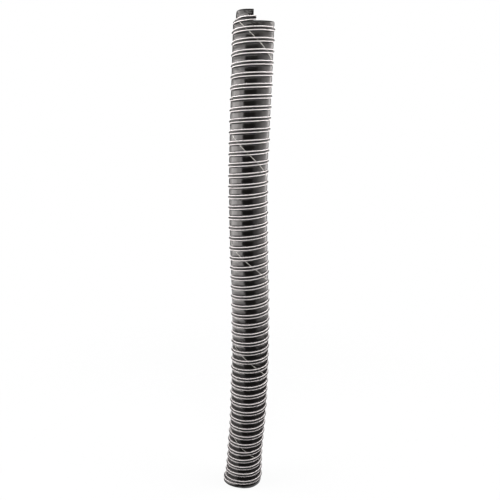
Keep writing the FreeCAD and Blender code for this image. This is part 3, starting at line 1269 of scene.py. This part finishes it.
@dataclass(frozen=True)
class CoatedFabric(Finish):
    """Glass fabric coated with black rubber: streaks round the duct, a faint weave, dust by the cords."""

    dust: tuple[float, float, float] = (0.075, 0.068, 0.058)
    dusty: float = 0.35
    dust_line: float = 4.6 * MM
    threads: int = 223
    radius: float = 39.2 * MM
    relief: float = 0.30 * MM

    def surface(self, tree: Tree) -> Term:
        """Build the nodes.

        Args:
            tree: The shader tree.

        Returns:
            The shader.
        """
        wall = Wall.read(tree)
        broad = wall.streaks(tree, 260.0, 1.0)
        fine = wall.streaks(tree, 1500.0, 2.0)
        patches = tree.noise(wall.rest, 34.0, 3.0, 5.0)
        weave = wall.weave(tree, self.threads, self.radius)
        by_cords = 1.0 - (wall.near - self.dust_line).call("ABSOLUTE").window(0.2 * MM, 1.3 * MM)
        specks = tree.noise(wall.rest, 700.0, 2.0, 8.0).window(0.45, 0.75)
        dust = by_cords * (0.35 + specks) * patches.window(0.25, 0.75) * self.dusty
        base = self.colour(tree, patches * 0.6 + fine * 0.4)
        base = tree.blend(dust.call("MINIMUM", 1.0), base, (*self.dust, 1.0))
        roughness = self.gloss((broad * 0.5 + patches * 0.5 + fine * 0.25 - 0.12)) + dust * 0.3
        height = broad * 0.55 + fine * 0.16 + weave * 0.03
        return self.principled(tree, base, roughness, self.bump(tree, height, self.relief, 0.4))


@dataclass(frozen=True)
class CoverRubber(Finish):
    """Smooth black rubber over the wire, with faint moulding lines and dust at its foot."""

    dust: tuple[float, float, float] = (0.06, 0.055, 0.048)

    def surface(self, tree: Tree) -> Term:
        """Build the nodes.

        Args:
            tree: The shader tree.

        Returns:
            The shader.
        """
        wall = Wall.read(tree)
        _, out, _ = tree.attribute("round").parts()
        patches = tree.noise(wall.rest, 55.0, 2.0, 3.0)
        specks = tree.noise(wall.rest, 900.0, 2.0, 4.0)
        low = 1.0 - out.window(-1.2, 0.2)
        base = tree.blend(low * specks.window(0.4, 0.7) * 0.7, self.colour(tree, patches), (*self.dust, 1.0))
        rub = specks * 0.35 + patches * 0.65
        return self.principled(tree, base, self.gloss(rub), self.bump(tree, rub, 0.10 * MM, 0.5))


@dataclass(frozen=True)
class TwistedCord(Finish):
    """Off-white glass cord of twisted strands, with painted shade between the strands and a few stains."""

    strands: int = 3
    lay: float = 5.2 * MM
    # Colour of the painted shade between the strands and of the real stains.
    stain_and_shade: tuple[float, float, float] = (0.42, 0.40, 0.36)
    relief: float = 0.22 * MM

    def surface(self, tree: Tree) -> Term:
        """Build the nodes.

        Args:
            tree: The shader tree.

        Returns:
            The shader.
        """
        wall = Wall.read(tree)
        side, out, _ = tree.attribute("round").parts()
        length = tree.attribute("length", vector=False)
        turned = tree.math("ARCTAN2", side, out) * float(self.strands) + length * (2 * math.pi / self.lay)
        strand = turned.call("SINE") * 0.5 + 0.5
        fibre = (turned * 6.0).call("SINE") * 0.5 + 0.5
        stains = tree.noise(wall.rest, 60.0, 3.0, 6.0)
        # Painted shade: the colour is darker in the hollows between the twisted strands and lighter on their
        # crests.
        valley_shade = 1.0 - strand.window(0.0, 0.45)
        base = self.colour(tree, stains * 0.7 + strand * 0.3)
        # The darker colour below is painted shade between the strands, mixed with real stains.
        shade_and_stains = valley_shade * 0.35 + stains.window(0.55, 0.8) * 0.18
        base = tree.blend(shade_and_stains, base, (*self.stain_and_shade, 1.0))
        height = strand.window(0.0, 0.9) + fibre * 0.12
        return self.principled(tree, base, self.gloss(stains), self.bump(tree, height, self.relief, 0.8),
                               Sheen_Weight=0.2)


@dataclass(frozen=True)
class DrawnWire(Finish):
    """Drawn spring wire, with fine lines along it."""

    def surface(self, tree: Tree) -> Term:
        """Build the nodes.

        Args:
            tree: The shader tree.

        Returns:
            The shader.
        """
        wall = Wall.read(tree)
        side, out, _ = tree.attribute("round").parts()
        length = tree.attribute("length", vector=False)
        lines = tree.noise(tree.combine(side * 9.0, out * 9.0, length * 30.0), 1.0, 2.0, 2.0)
        spots = tree.noise(wall.rest, 400.0, 3.0, 9.0)
        return self.principled(tree, self.colour(tree, lines * 0.6 + spots * 0.4), self.gloss(spots),
                               self.bump(tree, lines, 0.03 * MM, 0.6), Metallic=1.0)


@dataclass(frozen=True)
class FabricEdge(Finish):
    """The pale edge of the lap, rubbed away over the ridges."""

    hidden: tuple[float, float, float] = (0.03, 0.029, 0.028)

    def surface(self, tree: Tree) -> Term:
        """Build the nodes.

        Args:
            tree: The shader tree.

        Returns:
            The shader.
        """
        wall = Wall.read(tree)
        wear = tree.noise(wall.rest, 160.0, 3.0, 4.0)
        shown = wall.near.window(1.6 * MM, 3.2 * MM) * wear.window(0.25, 0.45) * 0.6 + 0.35
        base = tree.blend(shown, (*self.hidden, 1.0), self.colour(tree, wear))
        return self.principled(tree, base, self.gloss(wear), self.bump(tree, wear, 0.1 * MM, 0.6))


@dataclass(frozen=True)
class Sheet:
    """A sheet that only reflections see.

    Its angles are degrees from the camera's side, negative at the left. Its edges are heights of an
    upright screen, or distances of a cloth on the floor from the duct's axis. Glow is its radiance.
    """

    name: str
    start: float
    end: float
    low: float
    high: float
    glow: float


@dataclass(frozen=True)
class Lamp:
    """A soft light for the matt surfaces: its place, its target, its width and height, and its watts."""

    name: str
    place: tuple[float, float, float]
    target: tuple[float, float, float]
    size: tuple[float, float]
    power: float


@dataclass
class Studio:
    """A white floor, soft lights, sheets that only reflections see, and the photograph's camera."""

    camera_place: tuple[float, float, float] = (0.0144, -1.2, 0.8217)
    camera_pitch: float = 12.365
    sensor: float = 36.0
    lens: float = 40.68
    aim: tuple[float, float, float] = (0.011, 0.0, 1.1)
    softbox_away: float = 1.4
    softbox_height: float = 1.3
    white: tuple[float, float, float] = (1.0, 1.0, 1.0)
    tint: tuple[float, float, float] = (1.0, 0.955, 0.94)
    ambient: float = 0.18
    floor_radius: float = 1.25
    floor_fade: tuple[float, float] = (0.35, 1.2)
    floor_lift: float = 0.90
    screen_away: float = 1.7
    cloth_height: float = 0.002
    lamps: tuple[Lamp, ...] = (
        Lamp("overhead", (0.1, -1.15, 1.75), (0.02, 0.0, 0.85), (1.0, 0.6), 15.0),
        Lamp("top_left", (-0.50, -0.10, 1.16), (0.06, 0.0, 1.0), (0.3, 0.3), 1.5),
        Lamp("top_right", (0.62, -0.10, 1.16), (0.06, 0.0, 1.0), (0.3, 0.3), 2.3))
    screens: tuple[Sheet, ...] = (
        Sheet("front", -40.0, 31.0, -0.02, 1.30, 0.012), Sheet("front_band", -75.0, 31.0, 1.30, 1.46, 3.0),
        Sheet("front_top", -75.0, 31.0, 1.46, 2.3, 0.012),
        Sheet("left_front", -70.0, -40.0, 0.2, 1.18, 2.7),
        Sheet("left", -118.0, -70.0, 0.2, 1.18, 4.2), Sheet("left_low", -118.0, -40.0, -0.02, 0.2, 3.0),
        Sheet("left_rear", -142.0, -118.0, -0.02, 1.18, 1.7),
        Sheet("left_top", -142.0, -40.0, 1.18, 1.30, 0.7),
        Sheet("left_band", -142.0, -75.0, 1.30, 1.46, 2.6),
        Sheet("left_high", -142.0, -75.0, 1.46, 2.3, 0.3),
        Sheet("rear_left", -176.0, -142.0, -0.02, 2.3, 0.012),
        Sheet("right_front", 31.0, 55.0, -0.02, 1.20, 0.45),
        Sheet("right_middle", 55.0, 70.0, -0.02, 1.20, 0.9),
        Sheet("right", 70.0, 95.0, -0.02, 1.20, 1.4), Sheet("right_side", 95.0, 120.0, -0.02, 1.20, 1.85),
        Sheet("right_rear", 120.0, 146.0, -0.02, 1.20, 2.9),
        Sheet("right_top", 31.0, 146.0, 1.20, 1.27, 0.4),
        Sheet("right_band", 31.0, 95.0, 1.27, 1.45, 1.8),
        Sheet("right_shine", 95.0, 146.0, 1.27, 1.45, 4.5),
        Sheet("right_high", 31.0, 146.0, 1.45, 2.3, 0.3),
        Sheet("rear_right", 146.0, 176.0, -0.02, 2.3, 0.012))
    cloths: tuple[Sheet, ...] = (
        Sheet("left_near", -140.0, -30.0, 0.047, 0.5, 0.38),
        Sheet("left_middle", -140.0, -30.0, 0.5, 1.0, 0.36),
        Sheet("left_far", -140.0, -30.0, 1.0, 1.65, 1.7),
        Sheet("front_near", -30.0, 40.0, 0.047, 1.65, 0.04),
        Sheet("right_near", 40.0, 172.0, 0.047, 0.5, 0.12),
        Sheet("right_middle", 40.0, 172.0, 0.5, 1.0, 0.05),
        Sheet("right_far", 40.0, 172.0, 1.0, 1.65, 0.9))

    def build(self) -> None:
        """Build all of it."""
        self.world()
        self.floor()
        self.camera()
        self.softbox("left", -125.0, -55.0, 4.1)
        self.softbox("right", 58.0, 130.0, 3.8)
        for lamp in self.lamps:
            self.lamp(lamp)
        for upright, sheets in ((True, self.screens), (False, self.cloths)):
            for sheet in sheets:
                self.shine(sheet, upright)

    def world(self) -> None:
        """White where it is seen, dimmer where it lights."""
        world = bpy.data.worlds.new("studio")
        bpy.context.scene.world = world
        tree = Tree.opened(world)
        dim, full = (tree.glow("ShaderNodeBackground", self.white, strength)
                     for strength in (self.ambient, 1.0))
        tree.node("ShaderNodeOutputWorld", None, {"Surface": tree.mixed(self.seen(tree), dim, full)})

    def seen(self, tree: Tree) -> Term:
        """1 for rays from the camera and for reflected and refracted ones."""
        path = tree.node("ShaderNodeLightPath")
        rays = [Term(tree, path.outputs["Is %s Ray" % kind]) for kind in ("Camera", "Glossy", "Transmission")]
        return rays[0].call("MAXIMUM", rays[1]).call("MAXIMUM", rays[2])

    def sheet(self, name: str, points: list[Vector], finish: bpy.types.Material) -> bpy.types.Object:
        """Make a flat stage piece.

        Args:
            name: Its name.
            points: Its corners.
            finish: Its material.

        Returns:
            The piece.
        """
        mesh = row_mesh(name, [tuple(point) for point in points], (), [list(range(len(points)))])
        mesh.materials.append(finish)
        piece = linked(name, mesh)
        piece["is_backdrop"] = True
        return piece

    def floor(self) -> None:
        """A white floor that fades out at its edge and keeps the shadow."""
        ring = [Vector((self.floor_radius * math.cos(a), self.floor_radius * math.sin(a), 0.0))
                for a in np.linspace(0, 2 * math.pi, 65)[:-1]]
        self.sheet("floor", ring, material("floor_white", self.paper))

    def paper(self, tree: Tree) -> Term:
        """Build the nodes of the floor.

        Args:
            tree: The shader tree.

        Returns:
            The shader: matt paper, lifted to white where it is seen.
        """
        place = tree.out("ShaderNodeTexCoord", "Object")
        x, y, _ = place.parts()
        away = (x * x + y * y).call("SQRT")
        grain = tree.noise(place, 9.0, 2.0, 1.0)
        colour = tree.blend(grain, (0.79, 0.79, 0.79, 1.0), (0.82, 0.82, 0.82, 1.0))
        bounced = tree.out("ShaderNodeLightPath", "Is Diffuse Ray")
        colour = tree.blend(bounced, colour, (0.22, 0.22, 0.22, 1.0))
        matt = tree.out("ShaderNodeBsdfDiffuse", 0, None, {"Color": colour})
        white = tree.glow("ShaderNodeEmission", self.white, 1.0)
        lifted = tree.mixed(self.seen(tree) * self.floor_lift, matt, white)
        return tree.mixed(away.window(*self.floor_fade), lifted, tree.out("ShaderNodeBsdfTransparent"))

    def camera(self) -> None:
        """The camera, where the photograph was taken from."""
        data = bpy.data.cameras.new("camera")
        data.sensor_width = self.sensor
        data.lens = self.lens
        data.clip_start = 0.02
        camera = linked("camera", data)
        camera.location = self.camera_place
        camera.rotation_euler = (math.radians(90.0 - self.camera_pitch), 0.0, 0.0)
        bpy.context.scene.camera = camera

    def direction(self, angle: float) -> Vector:
        """Direction at an angle from the camera's side, to the right of it if positive."""
        return Vector((math.sin(math.radians(angle)), -math.cos(math.radians(angle)), 0.0))

    def softbox(self, name: str, start: float, end: float, glow: float) -> None:
        """An upright area light for the matt surfaces, between two angles as seen from the duct.

        Args:
            name: Its name.
            start: First angle from the camera's side, in degrees, negative at the left.
            end: Last angle.
            glow: Radiance of its face.
        """
        width = 2 * self.softbox_away * math.tan(math.radians((end - start) / 2))
        place = Vector(self.aim) + self.direction((start + end) / 2) * self.softbox_away
        power = glow * math.pi * width * self.softbox_height
        self.lamp(Lamp(name, tuple(place), self.aim, (width, self.softbox_height), power))

    def lamp(self, lamp: Lamp) -> None:
        """Hang a lamp.

        Args:
            lamp: The lamp.
        """
        data = bpy.data.lights.new(lamp.name, "AREA")
        data.shape = "RECTANGLE"
        data.size, data.size_y = lamp.size
        data.energy = lamp.power
        piece = linked(lamp.name, data)
        piece.location = lamp.place
        piece.rotation_euler = (Vector(lamp.target) - Vector(lamp.place)).to_track_quat("-Z", "Y").to_euler()
        piece.visible_camera = False
        piece.visible_glossy = False

    def shine(self, sheet: Sheet, upright: bool) -> None:
        """Set up a sheet that only glossy rays see.

        Args:
            sheet: The sheet.
            upright: Whether it is a screen, or else a cloth on the floor.
        """
        edges = []
        for edge in (sheet.low, sheet.high):
            away, height = (self.screen_away, edge) if upright else (edge, self.cloth_height)
            middle = Vector((self.aim[0] if upright else 0.0, 0.0, height))
            angles = np.linspace(sheet.start, sheet.end, 9)
            edges.append([middle + self.direction(angle) * away for angle in angles])
        name = ("screen_" if upright else "cloth_") + sheet.name
        finish = material(name, lambda tree: tree.glow("ShaderNodeEmission", self.tint, sheet.glow))
        piece = self.sheet(name, edges[0] + edges[1][::-1], finish)
        for ray in ("camera", "diffuse", "shadow", "transmission"):
            setattr(piece, "visible_" + ray, False)


@dataclass
class Duct:
    """The flexible duct: two plies, the covered wire and the two binding cords."""

    outer_wall: float = 39.2 * MM
    ply_wall: float = 0.5 * MM
    bond_line: float = 0.1 * MM
    cord_gap: float = 3.25 * MM
    wire_height: float = 1.8 * MM
    wire_radius: float = 0.9 * MM
    cord_height: float = 1.4 * MM
    cord_half: tuple[float, float] = (1.02 * MM, 0.98 * MM)
    cord_wander: float = 0.15 * MM
    lap_half: float = 0.55 * MM
    web_swell: float = 1.3 * MM
    folds: float = 0.5 * MM

    def oval(self, half: tuple[float, float], height: float, sides: int) -> list[tuple[float, float]]:
        """Points of an oval profile, counter-clockwise."""
        angles = [2 * math.pi * i / sides for i in range(sides)]
        return [(half[0] * math.cos(a), height + half[1] * math.sin(a)) for a in angles]

    def cover(self) -> list[tuple[float, float]]:
        """Points of the cover's profile: a skirt, an arch over the wire and the hollow below it."""
        over = [(1.9, 0.45), (1.72, 1.3), (1.55, 2.15), (1.05, 3.0), (0.4, 3.35)]
        over = [(4.2, 0.10), (2.2, 0.15), *over]
        over += [(-x, y) for x, y in over[::-1]]
        under = [(-4.2, 0.02), (-1.5, 0.02), (-1.35, 2.0), (0.0, 2.95), (1.35, 2.0), (1.5, 0.02), (4.2, 0.02)]
        return [(x * MM, y * MM) for x, y in (*over, *under)]

    def lap(self) -> list[tuple[float, float]]:
        """Points of the lap's profile."""
        half, low, high = self.lap_half, 0.02 * MM, 0.10 * MM
        return [(half, low), (half, high), (0.0, 0.16 * MM), (-half, high), (-half, low)]

    def build(self) -> None:
        """Build the layers from the bore outwards."""
        fabric = CoatedFabric("outer_fabric_gloss", (0.003, 0.003, 0.003), (0.010, 0.009, 0.008),
                              0.11, 0.21, 1.68)
        lining = CoatedFabric("inner_fabric_satin", (0.026, 0.025, 0.024), (0.046, 0.044, 0.041),
                              0.42, 0.6, 1.5)
        rubber = CoverRubber("cover_rubber_gloss", (0.004, 0.004, 0.004), (0.010, 0.009, 0.008),
                             0.14, 0.28, 1.6)
        cord = TwistedCord("glass_cord_white", (0.80, 0.735, 0.735), (0.89, 0.825, 0.825), 0.65, 0.9)
        wire = DrawnWire("spring_wire_drawn", (0.38, 0.36, 0.34), (0.58, 0.56, 0.53), 0.25, 0.45)
        edge = FabricEdge("lap_edge_pale", (0.45, 0.43, 0.39), (0.72, 0.70, 0.65), 0.6, 0.85)
        kit = Kit(Bow())
        wall, slack = self.outer_wall, (self.web_swell, self.folds)
        for layer, slot, outside, seen, rows, finish in (
                ("inner_ply", Slot.INNER, wall - self.ply_wall - self.bond_line, False, 8, lining),
                ("outer_ply", Slot.OUTER, wall, True, 16, fabric)):
            Ply(layer, slot, outside - self.ply_wall, outside, seen, rows, finish.make(), *slack).build(kit)
        strand = self.oval((self.wire_radius, self.wire_radius), self.wire_height, 6)
        Strand("spring_wire", Slot.STEEL, wire.make(), strand, wall, steps=48).build(kit)
        Strand("wire_cover", Slot.COVER, rubber.make(), self.cover(), wall, steps=64).build(kit)
        strand = self.oval(self.cord_half, self.cord_height, 10)
        Strand("binding_cords", Slot.CORD, cord.make(), strand, wall, (-self.cord_gap, self.cord_gap),
               steps=72, wander=self.cord_wander).build(kit)
        Lap("lap_line", Slot.CORD, edge.make(), self.lap(), wall).build(kit)
        kit.clear()


def main() -> None:
    """Build the duct and the studio."""
    logging.basicConfig(level=logging.INFO, format="%(name)s: %(message)s")
    bpy.context.scene.view_settings.view_transform = "Standard"
    Duct().build()
    Studio().build()
    boxes = [[list(corner) for corner in box] for box in (CAD_BOX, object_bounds())]
    LOG.info("CAD box %s, visual box %s", *boxes)


if __name__ == "__main__":
    main()
